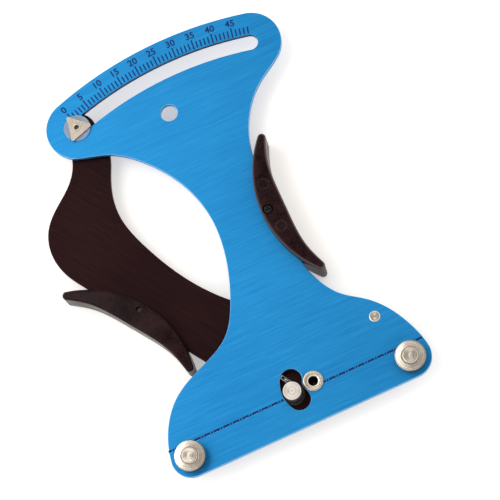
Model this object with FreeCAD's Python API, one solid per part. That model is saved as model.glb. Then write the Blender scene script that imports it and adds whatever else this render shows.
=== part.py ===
import FreeCAD, Part
import math
import os

# A spoke tension meter: a face plate with a scale, two fixed posts and a handle, and an
# arm behind it with the moving post, the pointer and the other handle. The arm swings on
# a rivet, and a torsion spring behind it presses the moving post onto the spoke.
#
# Lengths are millimetres and angles are degrees. The working origin is on the pivot's
# axis, at the front of the face plate. X runs along the spoke, Y towards the scale and
# Z towards the reader. The last step moves the tool so that its origin is on the bench,
# in the middle of its outline.

# Plates and levels
plate_thickness = 3.2
arm_thickness = 2.6
plate_gap = 1.0
rim_round = 0.35
front_height = 7.0
bench_depth = 13.8

# Scale end of the face plate
slot_radius = 195.8
slot_width = 9.0
slot_zero_angle = 108.3
slot_end_angle = 76.4
scale_margin = 17.7
hang_hole_radius = 4.8
hang_hole_x = -11.3
hang_hole_y = 171.8

# Spoke end of the face plate
post_span = 127.0
left_post_x = -75.1
post_y = -10.3
left_lobe_radius = 11.0
right_lobe_radius = 11.7
lower_edge_y = -20.9
window_radius = 11.9
window_half_width = 5.95
window_top_angle = 152.0
window_bottom_angle = 209.0

# Sides of the face plate, from the lower lobes to the scale: the feet are measured from
# the posts, the necks from the pivot and the shoulders from the ends of the slot
right_lobe_leaves = 8.0
right_lobe_arrives = -52.0
left_lobe_leaves = 250.0
left_lobe_arrives = 172.0
right_foot = [(6.7, 18.9), (0.1, 30.6), (-8.3, 39.5), (-18.9, 47.6), (-26.9, 59.5)]
right_neck = [(21.0, 62.0), (20.6, 95.0)]
right_shoulder = [(-25.1, -62.3), (-18.5, -41.3), (-4.5, -24.3)]
left_shoulder = [(11.3, -22.5), (25.3, -33.5), (38.6, -51.4)]
left_neck = [(-14.2, 108.0), (-15.4, 82.7), (-22.5, 59.5)]
left_foot = [(41.6, 51.9), (25.1, 42.9), (5.3, 32.7), (-5.5, 19.1)]

# Swing arm: a hub on the pivot, a head under the pointer and a wide bow between them.
# What lies near the head is measured from the pointer's pin, the rest from the pivot.
hub_radius = 16.0
head_radius = 9.8
hub_leaves = 35.0
hub_arrives = 245.0
head_arrives = -10.0
head_leaves = 190.0
inner_bow = [(-3.0, 41.0), (-22.6, 60.5), (-41.8, 85.0), (-53.2, 108.0), (-59.5, 131.4)]
inner_head = [(6.0, -32.9), (10.9, -17.9)]
outer_head = [(-10.0, -14.6), (-15.9, -25.5), (-26.5, -34.9)]
outer_bow = [(-98.0, 140.8), (-102.2, 127.7), (-99.0, 111.5)]
back_edge_top = (-92.6, 101.0)
back_edge_bottom = (-46.0, 31.4)

# Fixed and moving posts, turned with a groove for the spoke
groove_bottom = 0.6
groove_height = 4.4
post_flange_radius = 8.3
post_flange_rim = 1.1
post_cone_rise = 0.7
post_groove_radius = 6.6
post_button_radius = 4.3
post_button_rise = 0.8
post_foot_radius = 7.6
post_tenon_radius = 3.0
post_tail_radius = 4.4
post_tail_height = 1.1
moving_post_radius = 12.3
moving_post_angle = 186.3
moving_flange_radius = 5.0
moving_flange_height = 1.4
moving_groove_radius = 3.2
moving_body_radius = 4.9
moving_collar_radius = 6.0
moving_tenon_radius = 2.2
moving_tail_radius = 2.7
moving_tail_height = 0.9
groove_blend = 0.8
edge_break = 0.3

# Pivot
rivet_shank_radius = 3.5
rivet_head_radius = 5.6
rivet_head_height = 1.3
rivet_bore_radius = 2.1
rivet_bore_depth = 9.0
rivet_back_radius = 6.2
rivet_back_height = 1.2
bush_wall = 1.1
running_clearance = 0.05
mid_washer_radius = 5.8
back_washer_radius = 9.0
back_washer_thickness = 0.8

# Return spring, wound round the pivot behind the arm
wire_radius = 0.8
coil_radius = 6.9
coil_pitch = 2.1
hook_leaves_angle = 212.0
hook_run = 9.4
hook_ramp = 3.2
hook_flat = 4.2
hook_bend_radius = 1.8
hook_proud = 0.25
hook_slot_margin = 0.3
coil_clearance = 0.3
leg_overhang = 6.0
whole_turns = 1

# Spring stud, staked through the face plate
stud_x = 44.0
stud_y = 18.1
stud_head_radius = 2.95
stud_head_height = 0.5
stud_tenon_radius = 2.3
stud_shoulder_radius = 3.4
stud_shoulder_height = 1.0
stud_shank_radius = 2.0
stud_flange_height = 1.0
stud_flange_radius = 3.1

# Pointer, riveted to the arm through the slot
slot_bush_clearance = 0.1
pointer_rivet_radius = 1.8
pointer_rivet_bore = 1.25
pointer_rivet_flare = 2.2
pointer_flare_height = 0.6
pointer_tail_radius = 3.0
slot_washer_radius = 7.5
pointer_washer_lift = 0.1
pointer_washer_thickness = 0.8
pointer_thickness = 1.0
pointer_tip = 9.6
pointer_base = -4.9
pointer_half_width = 7.6
pointer_corner = 1.1

# Handles, each two moulded halves held on a plate's edge by one screw and two pegs
handle_half_length = 42.0
handle_crown = 17.2
handle_tip_radius = 2.3
handle_hollow = 3.6
handle_shoulder = 3.5
handle_shoulder_x = 15.0
handle_flank = 2.0
handle_flank_x = 27.0
handle_lean = 22.0
handle_edge_round = 1.8
handle_fit = 0.15
right_handle_x = 29.3
right_handle_y = 94.4
right_handle_turn = 90.0
left_handle_x = -80.0
left_handle_y = 66.6
left_handle_turn = -54.8
screw_along = 0.9
screw_offset = 13.2
peg_spacing = 13.0
peg_offset = 12.4
peg_radius = 1.3
peg_clearance = 0.1
peg_reach = 3.0
screw_radius = 1.6
screw_clearance = 0.2
screw_head_radius = 2.7
screw_head_height = 1.9
screw_recess_radius = 3.0
screw_recess_depth = 3.2
screw_bite = 5.0
cross_width = 0.8
cross_length = 3.2
cross_depth = 1.1

# Levels and places that follow from the sizes above
back_of_plate = -plate_thickness
front_of_arm = back_of_plate - plate_gap
back_of_arm = front_of_arm - arm_thickness
groove_top = groove_bottom + groove_height
right_post_x = left_post_x + post_span
slot_half_width = slot_width / 2
scale_edge_radius = slot_radius + scale_margin
bush_radius = rivet_shank_radius + bush_wall
coil_start_z = back_of_arm - coil_clearance - wire_radius
swing = slot_zero_angle - slot_end_angle


def at(radius, angle, z=0.0):
    """The point at a radius and an angle about the pivot."""
    turn = math.radians(angle)
    return FreeCAD.Vector(radius * math.cos(turn), radius * math.sin(turn), z)


def around(centre, radius, angle):
    """The point at a radius and an angle about a centre."""
    return centre + at(radius, angle)


def point(pair, z=0.0):
    return FreeCAD.Vector(pair[0], pair[1], z)


def arc(centre, radius, first_angle, last_angle):
    """An arc about a centre, from the first angle to the last one."""
    middle_angle = (first_angle + last_angle) / 2
    return Part.Arc(around(centre, radius, first_angle), around(centre, radius, middle_angle),
                    around(centre, radius, last_angle)).toShape()


def line(first, last):
    return Part.LineSegment(first, last).toShape()


def smooth(points, first_direction, last_direction, grow=0.0):
    """A smooth edge through the points, with its direction given at both ends.

    To grow is to move every point to the right of the edge by that much.
    """
    run = [0.0]
    for first, last in zip(points, points[1:]):
        run.append(run[-1] + (last - first).Length)
    curve = Part.BSplineCurve()
    curve.interpolate(Points=points, Parameters=run, InitialTangent=at(1, first_direction),
                      FinalTangent=at(1, last_direction), Scale=False)
    if grow == 0.0:
        return curve.toShape()
    moved = []
    for place in run:
        heading = curve.tangent(place)[0]
        moved.append(curve.value(place) + FreeCAD.Vector(heading.y, -heading.x, 0) * grow)
    return smooth(moved, first_direction, last_direction)


def prism(edges, z_low, z_high):
    """A closed outline of edges, raised from one level to another."""
    face = Part.Face(Part.Wire(edges))
    face.translate(FreeCAD.Vector(0, 0, z_low))
    return face.extrude(FreeCAD.Vector(0, 0, z_high - z_low))


def cylinder(radius, z_low, z_high, centre=FreeCAD.Vector(0, 0, 0)):
    base = FreeCAD.Vector(centre.x, centre.y, z_low)
    return Part.makeCylinder(radius, z_high - z_low, base)


def ring(outer, inner, z_low, z_high, centre=FreeCAD.Vector(0, 0, 0)):
    return cylinder(outer, z_low, z_high, centre).cut(cylinder(inner, z_low, z_high, centre))


def turned(profile, centre=FreeCAD.Vector(0, 0, 0)):
    """A turned piece from its half profile, a list of radius and level."""
    corners = [FreeCAD.Vector(radius, 0, z) for radius, z in profile]
    face = Part.Face(Part.makePolygon(corners + corners[:1]))
    solid = face.revolve(FreeCAD.Vector(0, 0, 0), FreeCAD.Vector(0, 0, 1), 360)
    solid.translate(centre)
    return solid


def arc_slot(radius, half_width, low_angle, high_angle, z_low, z_high):
    """A slot that follows an arc about the pivot and has round ends."""
    pivot = FreeCAD.Vector(0, 0, 0)
    low = at(radius, low_angle)
    high = at(radius, high_angle)
    edges = [arc(pivot, radius + half_width, low_angle, high_angle),
             arc(high, half_width, high_angle, high_angle + 180),
             arc(pivot, radius - half_width, high_angle, low_angle),
             arc(low, half_width, low_angle + 180, low_angle + 360)]
    return prism(edges, z_low, z_high)


def straight_slot(first, last, half_width, z_low, z_high):
    """A straight slot with round ends about its first and last points."""
    along = math.degrees(math.atan2(last.y - first.y, last.x - first.x))
    edges = [line(around(first, half_width, along - 90), around(last, half_width, along - 90)),
             arc(last, half_width, along - 90, along + 90),
             line(around(last, half_width, along + 90), around(first, half_width, along + 90)),
             arc(first, half_width, along + 90, along + 270)]
    return prism(edges, z_low, z_high)


def level_edges(solid, z):
    """The edges of a solid that lie wholly at one level."""
    found = []
    for edge in solid.Edges:
        box = edge.BoundBox
        if abs(box.ZMin - z) < 1e-4 and abs(box.ZMax - z) < 1e-4:
            found.append(edge)
    return found


pin_centre = at(slot_radius, slot_zero_angle)
moving_post_centre = at(moving_post_radius, moving_post_angle)
left_post_centre = FreeCAD.Vector(left_post_x, post_y, 0)
right_post_centre = FreeCAD.Vector(right_post_x, post_y, 0)
stud_centre = FreeCAD.Vector(stud_x, stud_y, 0)
right_handle_place = (FreeCAD.Vector(right_handle_x, right_handle_y, 0), right_handle_turn, 1)
left_handle_place = (FreeCAD.Vector(left_handle_x, left_handle_y, 0), left_handle_turn, -1)


def face_plate_edges(grow=0.0):
    """The face plate's outline, or one grown all round, starting along its lower edge."""
    left_radius = left_lobe_radius + grow
    right_radius = right_lobe_radius + grow
    upper_radius = scale_margin + grow
    left_lobe = FreeCAD.Vector(left_post_x, lower_edge_y + left_lobe_radius, 0)
    right_lobe = FreeCAD.Vector(right_post_x, lower_edge_y + right_lobe_radius, 0)
    scale_right = at(slot_radius, slot_end_angle)
    scale_left = at(slot_radius, slot_zero_angle)
    right_points = [around(right_lobe, right_lobe_radius, right_lobe_leaves)]
    right_points += [right_post_centre + point(pair) for pair in right_foot]
    right_points += [point(pair) for pair in right_neck]
    right_points += [scale_right + point(pair) for pair in right_shoulder]
    right_points += [around(scale_right, scale_margin, right_lobe_arrives)]
    left_points = [around(scale_left, scale_margin, left_lobe_leaves)]
    left_points += [scale_left + point(pair) for pair in left_shoulder]
    left_points += [point(pair) for pair in left_neck]
    left_points += [left_post_centre + point(pair) for pair in left_foot]
    left_points += [around(left_lobe, left_lobe_radius, left_lobe_arrives)]
    return [line(around(left_lobe, left_radius, 270), around(right_lobe, right_radius, 270)),
            arc(right_lobe, right_radius, -90, right_lobe_leaves),
            smooth(right_points, right_lobe_leaves + 90, right_lobe_arrives + 90, grow),
            arc(scale_right, upper_radius, right_lobe_arrives, slot_end_angle),
            arc(FreeCAD.Vector(0, 0, 0), scale_edge_radius + grow, slot_end_angle,
                slot_zero_angle),
            arc(scale_left, upper_radius, slot_zero_angle, left_lobe_leaves),
            smooth(left_points, left_lobe_leaves + 90, left_lobe_arrives + 90, grow),
            arc(left_lobe, left_radius, left_lobe_arrives, 270)]


def swing_arm_edges(grow=0.0):
    """The arm's outline, or one grown all round, starting round its hub."""
    inner_points = [at(hub_radius, hub_leaves)]
    inner_points += [point(pair) for pair in inner_bow]
    inner_points += [pin_centre + point(pair) for pair in inner_head]
    inner_points += [around(pin_centre, head_radius, head_arrives)]
    outer_points = [around(pin_centre, head_radius, head_leaves)]
    outer_points += [pin_centre + point(pair) for pair in outer_head]
    outer_points += [point(pair) for pair in outer_bow]
    outer_points += [point(back_edge_top)]
    top = point(back_edge_top)
    bottom = point(back_edge_bottom)
    back_direction = math.degrees(math.atan2(bottom.y - top.y, bottom.x - top.x))
    outward = at(grow, back_direction - 90)
    return [arc(FreeCAD.Vector(0, 0, 0), hub_radius + grow, hub_arrives - 360, hub_leaves),
            smooth(inner_points, hub_leaves + 90, head_arrives + 90, grow),
            arc(pin_centre, head_radius + grow, head_arrives, head_leaves),
            smooth(outer_points, head_leaves + 90, back_direction, grow),
            line(top + outward, bottom + outward),
            smooth([bottom, at(hub_radius, hub_arrives)], back_direction, hub_arrives + 90,
                   grow)]


def placed(centre, turn, hand, x, y):
    """A place given along and across a handle or the pointer, in the tool's own frame."""
    return around(around(centre, hand * x, turn), y, turn + 90)


def screw_place(centre, turn, hand):
    return placed(centre, turn, hand, screw_along, screw_offset)


def peg_places(centre, turn, hand):
    return [placed(centre, turn, hand, screw_along + side * peg_spacing, peg_offset)
            for side in (-1, 1)]


def handle_holes(centre, turn, hand, z_low, z_high):
    """The screw hole and the two peg holes that a handle needs in its plate."""
    holes = [cylinder(screw_radius + screw_clearance, z_low, z_high,
                      screw_place(centre, turn, hand))]
    for place in peg_places(centre, turn, hand):
        holes.append(cylinder(peg_radius + peg_clearance, z_low, z_high, place))
    return holes


def hook_line():
    """The start and direction of the spring's hooked leg, tangent to its coil."""
    return at(coil_radius, hook_leaves_angle), hook_leaves_angle - 90


def face_plate():
    plate = prism(face_plate_edges(), back_of_plate, 0)
    plate = plate.cut(arc_slot(slot_radius, slot_half_width, slot_end_angle, slot_zero_angle,
                               back_of_plate, 0))
    plate = plate.cut(arc_slot(window_radius, window_half_width, window_top_angle,
                               window_bottom_angle, back_of_plate, 0))
    plate = plate.cut(cylinder(hang_hole_radius, back_of_plate, 0,
                               FreeCAD.Vector(hang_hole_x, hang_hole_y, 0)))
    plate = plate.makeFillet(rim_round, level_edges(plate, 0))
    plate = plate.makeFillet(rim_round, level_edges(plate, back_of_plate))
    holes = [cylinder(post_tenon_radius, back_of_plate, 0, left_post_centre),
             cylinder(post_tenon_radius, back_of_plate, 0, right_post_centre),
             cylinder(rivet_shank_radius, back_of_plate, 0),
             cylinder(stud_tenon_radius, back_of_plate, 0, stud_centre)]
    holes += handle_holes(*right_handle_place, back_of_plate, 0)
    return plate.cut(holes)


def swing_arm():
    arm = prism(swing_arm_edges(), back_of_arm, front_of_arm)
    arm = arm.makeFillet(rim_round, level_edges(arm, front_of_arm))
    arm = arm.makeFillet(rim_round, level_edges(arm, back_of_arm))
    holes = [cylinder(bush_radius + running_clearance, back_of_arm, front_of_arm),
             cylinder(moving_tenon_radius, back_of_arm, front_of_arm, moving_post_centre),
             cylinder(pointer_rivet_radius, back_of_arm, front_of_arm, pin_centre)]
    holes += handle_holes(*left_handle_place, back_of_arm, front_of_arm)
    foot, direction = hook_line()
    slot_start = around(foot, hook_run - wire_radius, direction)
    slot_end = around(foot, hook_run + hook_ramp + hook_flat, direction)
    holes.append(straight_slot(slot_start, slot_end, wire_radius + hook_slot_margin,
                               back_of_arm, front_of_arm))
    return arm.cut(holes)


def fixed_post(centre):
    """A turned post, staked in the face plate, with a coned face and a raised button."""
    rim_top = groove_top + post_flange_rim
    cone_top = rim_top + post_cone_rise
    button_top = cone_top + post_button_rise
    tail_end = back_of_plate - post_tail_height
    profile = [(0, tail_end),
               (post_tail_radius - edge_break, tail_end),
               (post_tail_radius, tail_end + edge_break),
               (post_tail_radius, back_of_plate),
               (post_tenon_radius, back_of_plate),
               (post_tenon_radius, 0),
               (post_foot_radius, 0),
               (post_foot_radius, groove_bottom),
               (post_groove_radius + groove_blend / 2, groove_bottom),
               (post_groove_radius, groove_bottom + groove_blend),
               (post_groove_radius, groove_top - groove_blend),
               (post_groove_radius + groove_blend / 2, groove_top),
               (post_flange_radius - edge_break, groove_top),
               (post_flange_radius, groove_top + edge_break),
               (post_flange_radius, rim_top - edge_break),
               (post_flange_radius - edge_break, rim_top),
               (post_button_radius, cone_top),
               (post_button_radius, button_top - edge_break),
               (post_button_radius - edge_break, button_top),
               (0, button_top)]
    return turned(profile, centre)


def moving_post():
    """The post that presses on the spoke, staked in the arm and worn through the window."""
    flange_top = groove_top + moving_flange_height
    collar_top = (front_of_arm + back_of_plate) / 2
    tail_end = back_of_arm - moving_tail_height
    profile = [(0, tail_end),
               (moving_tail_radius - edge_break, tail_end),
               (moving_tail_radius, tail_end + edge_break),
               (moving_tail_radius, back_of_arm),
               (moving_tenon_radius, back_of_arm),
               (moving_tenon_radius, front_of_arm),
               (moving_collar_radius, front_of_arm),
               (moving_collar_radius, collar_top),
               (moving_body_radius, collar_top),
               (moving_body_radius, groove_bottom),
               (moving_groove_radius + groove_blend, groove_bottom),
               (moving_groove_radius, groove_bottom + groove_blend),
               (moving_groove_radius, groove_top - groove_blend),
               (moving_groove_radius + groove_blend, groove_top),
               (moving_flange_radius, groove_top),
               (moving_flange_radius, flange_top - edge_break),
               (moving_flange_radius - edge_break, flange_top),
               (0, flange_top)]
    return turned(profile, moving_post_centre)


def pivot_levels():
    """The backs of the bush, the back washer and the rivet's back head."""
    coil_height = spring_turn() / 360 * coil_pitch
    bush_end = coil_start_z - coil_height - wire_radius - coil_clearance / 2
    washer_end = bush_end - back_washer_thickness
    return bush_end, washer_end, washer_end - rivet_back_height


def pivot_rivet():
    """A semi-tubular rivet, rolled over at the front and solid at the back."""
    bush_end, washer_end, head_end = pivot_levels()
    roll = rivet_head_height / 2
    profile = [(0, head_end),
               (rivet_back_radius - 2 * edge_break, head_end),
               (rivet_back_radius, head_end + 2 * edge_break),
               (rivet_back_radius, washer_end),
               (rivet_shank_radius, washer_end),
               (rivet_shank_radius, 0),
               (rivet_head_radius - edge_break, 0),
               (rivet_head_radius, edge_break),
               (rivet_head_radius, roll),
               (rivet_head_radius - roll, rivet_head_height),
               (rivet_bore_radius + 2 * roll, rivet_head_height),
               (rivet_bore_radius + edge_break, roll),
               (rivet_bore_radius, 0),
               (rivet_bore_radius, -rivet_bore_depth),
               (0, -rivet_bore_depth - rivet_bore_radius)]
    return turned(profile)


def leg_angle():
    """The direction of the spring's long leg, tangent to the coil and beside the stud."""
    reach = math.hypot(stud_x, stud_y)
    bearing = math.degrees(math.atan2(stud_y, stud_x))
    offset = coil_radius + stud_shank_radius + wire_radius + running_clearance
    return bearing + math.degrees(math.asin(offset / reach))


def spring_turn():
    """How far the coil turns from its hook to its long leg."""
    return (leg_angle() - 90 - hook_leaves_angle) % 360 + 360 * whole_turns


def bent_edges(corners, radius):
    """Straight runs between the corners, joined by tangent arcs of one radius."""
    edges = []
    start = corners[0]
    for before, corner, after in zip(corners, corners[1:], corners[2:]):
        back = (before - corner).normalize()
        on = (after - corner).normalize()
        half_turn = (math.pi - back.getAngle(on)) / 2
        setback = radius * math.tan(half_turn)
        inward = (back + on).normalize()
        middle = corner + inward * (radius / math.cos(half_turn) - radius)
        edges.append(line(start, corner + back * setback))
        edges.append(Part.Arc(corner + back * setback, middle, corner + on * setback).toShape())
        start = corner + on * setback
    edges.append(line(start, corners[-1]))
    return edges


def tangent_arc(start, end, tangent):
    """The arc from start to end that leaves start along the tangent."""
    chord = end - start
    turn = tangent.getAngle(chord)
    along = FreeCAD.Vector(chord).normalize()
    side = (tangent - along * tangent.dot(along)).normalize()
    middle = start + chord * 0.5 + side * (chord.Length / 2 * math.tan(turn / 2))
    return Part.Arc(start, middle, end).toShape()


def biarc(start, start_tangent, end, end_tangent):
    """Two arcs that join two points and keep both directions."""
    span = end - start
    both = start_tangent + end_tangent
    spread = 2 * (1 - start_tangent.dot(end_tangent))
    lean = span.dot(both)
    reach = (math.sqrt(lean * lean + spread * span.dot(span)) - lean) / spread
    joint = (start + start_tangent * reach + end - end_tangent * reach) * 0.5
    second = tangent_arc(end, joint, end_tangent * -1)
    return [tangent_arc(start, joint, start_tangent), second]


def coil_edges(turn):
    """The coil, as a biarc for each part of about a quarter turn."""
    parts = round(turn / 90)
    rise = -coil_pitch / (2 * math.pi * coil_radius)
    edges = []
    for part in range(parts):
        ends = []
        for step in (part, part + 1):
            angle = hook_leaves_angle + turn * step / parts
            slope = 0 if step in (0, parts) else rise
            tangent = at(1, angle + 90, slope).normalize()
            level = coil_start_z - coil_pitch * turn * step / parts / 360
            ends += [at(coil_radius, angle, level), tangent]
        edges += biarc(*ends)
    return edges


def spring_edges():
    """The wire's line: the hook in the arm, the coil, and the leg beside the stud."""
    foot, direction = hook_line()
    low = FreeCAD.Vector(0, 0, coil_start_z)
    high = FreeCAD.Vector(0, 0, front_of_arm - wire_radius + hook_proud)
    tip = around(foot, hook_run + hook_ramp + hook_flat - wire_radius, direction) + high
    ramp_top = around(foot, hook_run + hook_ramp, direction) + high
    ramp_foot = around(foot, hook_run, direction) + low
    edges = bent_edges([tip, ramp_top, ramp_foot, foot + low], hook_bend_radius)
    turn = spring_turn()
    edges += coil_edges(turn)
    coil_end = at(coil_radius, hook_leaves_angle + turn,
                  coil_start_z - coil_pitch * turn / 360)
    leg_length = math.hypot(stud_x, stud_y) + leg_overhang
    edges.append(line(coil_end, around(coil_end, leg_length, leg_angle())))
    return edges


def least_gap(edges):
    """The least gap between stretches of the wire that are more than half a turn apart."""
    points = []
    run = 0.0
    for edge in edges:
        for step in range(24):
            spot = edge.valueAt(edge.FirstParameter
                                + (edge.LastParameter - edge.FirstParameter) * step / 24)
            if points:
                run += (spot - points[-1][1]).Length
            points.append((run, spot))
    apart = math.pi * coil_radius
    gaps = [(spot - other).Length for place, spot in points for far, other in points
            if far - place > apart]
    return min(gaps) - 2 * wire_radius


def return_spring():
    edges = spring_edges()
    path = Part.Wire(Part.__sortEdges__(edges))
    first = edges[0].Vertexes[0].Point
    heading = (edges[0].Vertexes[-1].Point - first).normalize()
    section = Part.Wire(Part.Circle(first, heading, wire_radius).toShape())
    spring = path.makePipeShell([section], True, False)
    print("spring: least gap %.2f mm, wire %.1f mm long" % (least_gap(edges), path.Length))
    return spring


def spring_stud():
    """The stud that the spring's long leg bears on, staked through the face plate."""
    leg_z = coil_start_z - coil_pitch * spring_turn() / 360
    flange_top = leg_z - wire_radius - coil_clearance
    shoulder_end = back_of_plate - stud_shoulder_height
    profile = [(0, flange_top - stud_flange_height),
               (stud_flange_radius, flange_top - stud_flange_height),
               (stud_flange_radius, flange_top),
               (stud_shank_radius, flange_top),
               (stud_shank_radius, shoulder_end),
               (stud_shoulder_radius, shoulder_end),
               (stud_shoulder_radius, back_of_plate),
               (stud_tenon_radius, back_of_plate),
               (stud_tenon_radius, 0),
               (stud_head_radius, 0),
               (stud_head_radius, stud_head_height / 2),
               (stud_head_radius - stud_head_height, stud_head_height),
               (0, stud_head_height)]
    return turned(profile, stud_centre)


def pointer():
    """A three-cornered pointer with its tip on the scale."""
    bottom = pointer_washer_lift + pointer_washer_thickness
    corners = [placed(pin_centre, slot_zero_angle - 90, 1, x, y)
               for x, y in ((0, pointer_tip), (-pointer_half_width, pointer_base),
                            (pointer_half_width, pointer_base))]
    outline = Part.makePolygon(corners + corners[:1])
    body = Part.Face(outline)
    body.translate(FreeCAD.Vector(0, 0, bottom))
    body = body.extrude(FreeCAD.Vector(0, 0, pointer_thickness))
    uprights = [edge for edge in body.Edges if edge.BoundBox.ZLength > pointer_thickness / 2]
    body = body.makeFillet(pointer_corner, uprights)
    body = body.makeChamfer(edge_break / 2, level_edges(body, bottom + pointer_thickness))
    return body.cut(cylinder(pointer_rivet_radius, bottom, bottom + pointer_thickness,
                             pin_centre))


def pointer_rivet():
    """A hollow rivet through the pointer, its washer, the slot bush and the arm."""
    top = pointer_washer_lift + pointer_washer_thickness + pointer_thickness
    half_flare = pointer_flare_height / 2
    tail = back_of_arm - pointer_flare_height
    profile = [(pointer_rivet_bore, tail),
               (pointer_tail_radius - half_flare, tail),
               (pointer_tail_radius, tail + half_flare),
               (pointer_tail_radius, back_of_arm),
               (pointer_rivet_radius, back_of_arm),
               (pointer_rivet_radius, top),
               (pointer_rivet_flare, top),
               (pointer_rivet_flare, top + half_flare),
               (pointer_rivet_flare - half_flare, top + pointer_flare_height),
               (pointer_rivet_bore + half_flare, top + pointer_flare_height),
               (pointer_rivet_bore, top + half_flare)]
    return turned(profile, pin_centre)


def slot_bush():
    return ring(slot_half_width - slot_bush_clearance, pointer_rivet_radius, front_of_arm,
                pointer_washer_lift, pin_centre)


def slot_rear_washer():
    return ring(slot_washer_radius, slot_half_width - slot_bush_clearance, front_of_arm,
                back_of_plate, pin_centre)


def pointer_washer():
    return ring(slot_washer_radius, pointer_rivet_radius, pointer_washer_lift,
                pointer_washer_lift + pointer_washer_thickness, pin_centre)


def handle_face(centre, turn):
    """A handle's outline, crowned over its plate and hollowed on the outside."""
    tip_x = handle_half_length - handle_tip_radius
    near = FreeCAD.Vector(-tip_x, 0, 0)
    far = FreeCAD.Vector(tip_x, 0, 0)
    rise = handle_crown - handle_tip_radius
    bow = (tip_x ** 2 + rise ** 2) / (2 * rise)
    crown_end = math.degrees(math.atan2(bow - rise, tip_x))
    hollow = [around(near, handle_tip_radius, 270 + handle_lean),
              FreeCAD.Vector(-handle_flank_x, handle_flank, 0),
              FreeCAD.Vector(-handle_shoulder_x, handle_shoulder, 0),
              FreeCAD.Vector(0, handle_hollow, 0),
              FreeCAD.Vector(handle_shoulder_x, handle_shoulder, 0),
              FreeCAD.Vector(handle_flank_x, handle_flank, 0),
              around(far, handle_tip_radius, 270 - handle_lean)]
    face = Part.Face(Part.Wire([
        arc(FreeCAD.Vector(0, rise - bow, 0), bow + handle_tip_radius,
            crown_end, 180 - crown_end),
        arc(near, handle_tip_radius, 180 - crown_end, 270 + handle_lean),
        smooth(hollow, handle_lean, -handle_lean),
        arc(far, handle_tip_radius, -90 - handle_lean, crown_end)]))
    face.rotate(FreeCAD.Vector(0, 0, 0), FreeCAD.Vector(0, 0, 1), turn)
    face.translate(centre)
    return face


def handle_blank(place, z_low, z_high, round_z):
    """A handle's outline raised between two levels and rounded at one of them."""
    centre, turn, hand = place
    face = handle_face(centre, turn)
    face.translate(FreeCAD.Vector(0, 0, z_low))
    blank = face.extrude(FreeCAD.Vector(0, 0, z_high - z_low))
    return blank.makeFillet(handle_edge_round, level_edges(blank, round_z))


def handle_halves(handle_place, plate_edges, plate_back, plate_front, front_end, head_front):
    """A handle's front half, its back half with the pegs, and its screw.

    Both halves leave room for their plate, with a fit all round it.
    """
    back_end = -bench_depth
    parting = (plate_back + plate_front) / 2
    pocket = prism(plate_edges(handle_fit), plate_back, plate_front)
    front = handle_blank(handle_place, parting, front_end, front_end).cut(pocket)
    back = handle_blank(handle_place, back_end, parting, back_end).cut(pocket)
    for place in peg_places(*handle_place):
        back = back.fuse(cylinder(peg_radius, plate_back, plate_front + peg_reach, place))
        front = front.cut(cylinder(peg_radius + peg_clearance, plate_front,
                                   plate_front + peg_reach + peg_clearance, place))
    place = screw_place(*handle_place)
    if head_front:
        head_end, far_end, step = front_end, plate_back, -1
    else:
        head_end, far_end, step = back_end, plate_front, 1
    seat = head_end + step * screw_recess_depth
    recess = upright(screw_recess_radius, head_end, seat, place)
    shank_hole = upright(screw_radius + screw_clearance, seat, far_end, place)
    tip = far_end + step * screw_bite
    pilot_end = back_end if head_front else front_end
    pilot = upright(screw_radius, far_end, pilot_end, place)
    front = front.cut([recess, shank_hole, pilot])
    back = back.cut([recess, shank_hole, pilot])
    screw = handle_screw(place, seat, tip, step)
    return front, back, screw


def upright(radius, first_z, last_z, centre):
    return cylinder(radius, min(first_z, last_z), max(first_z, last_z), centre)


def handle_screw(place, seat, tip, step):
    """A pan-head screw with a cross recess, pointing along step."""
    top = seat - step * screw_head_height
    screw = upright(screw_head_radius, top, seat, place)
    screw = screw.makeChamfer(edge_break * 2, level_edges(screw, top))
    screw = screw.fuse(upright(screw_radius, seat, tip, place))
    floor = top + step * cross_depth
    for length, width in ((cross_length, cross_width), (cross_width, cross_length)):
        corner = FreeCAD.Vector(place.x - length / 2, place.y - width / 2, min(top, floor))
        screw = screw.cut(Part.makeBox(length, width, cross_depth, corner))
    return screw.removeSplitter()


def build():
    """Every piece of the tool, by name, about the pivot."""
    bush_end, washer_end, head_end = pivot_levels()
    pieces = {
        "face_plate": face_plate(),
        "swing_arm": swing_arm(),
        "left_fixed_post": fixed_post(left_post_centre),
        "right_fixed_post": fixed_post(right_post_centre),
        "moving_post": moving_post(),
        "pivot_rivet": pivot_rivet(),
        "pivot_bush": ring(bush_radius, rivet_shank_radius, bush_end, back_of_plate),
        "pivot_mid_washer": ring(mid_washer_radius, bush_radius, front_of_arm, back_of_plate),
        "pivot_back_washer": ring(back_washer_radius, rivet_shank_radius, washer_end,
                                  bush_end),
        "return_spring": return_spring(),
        "spring_stud": spring_stud(),
        "pointer": pointer(),
        "pointer_washer": pointer_washer(),
        "pointer_rivet": pointer_rivet(),
        "slot_bush": slot_bush(),
        "slot_rear_washer": slot_rear_washer(),
    }
    right = handle_halves(right_handle_place, face_plate_edges, back_of_plate, 0,
                          front_height, True)
    left = handle_halves(left_handle_place, swing_arm_edges, back_of_arm, front_of_arm,
                         front_of_arm + front_height, False)
    for side, halves in (("right", right), ("left", left)):
        for name, solid in zip(("front", "rear", "screw"), halves):
            pieces["%s_handle_%s" % (side, name)] = solid
    return pieces


def move_to_bench(pieces):
    """Moves the tool so that the origin is under its middle, on the bench."""
    boxes = [solid.optimalBoundingBox(False) for solid in pieces.values()]
    middle_x = (min(box.XMin for box in boxes) + max(box.XMax for box in boxes)) / 2
    middle_y = (min(box.YMin for box in boxes) + max(box.YMax for box in boxes)) / 2
    shift = FreeCAD.Vector(-middle_x, -middle_y, bench_depth)
    for solid in pieces.values():
        solid.translate(shift)
    print("pivot at %.3f, %.3f mm, swing %.2f degrees" % (shift.x, shift.y, swing))


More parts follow.
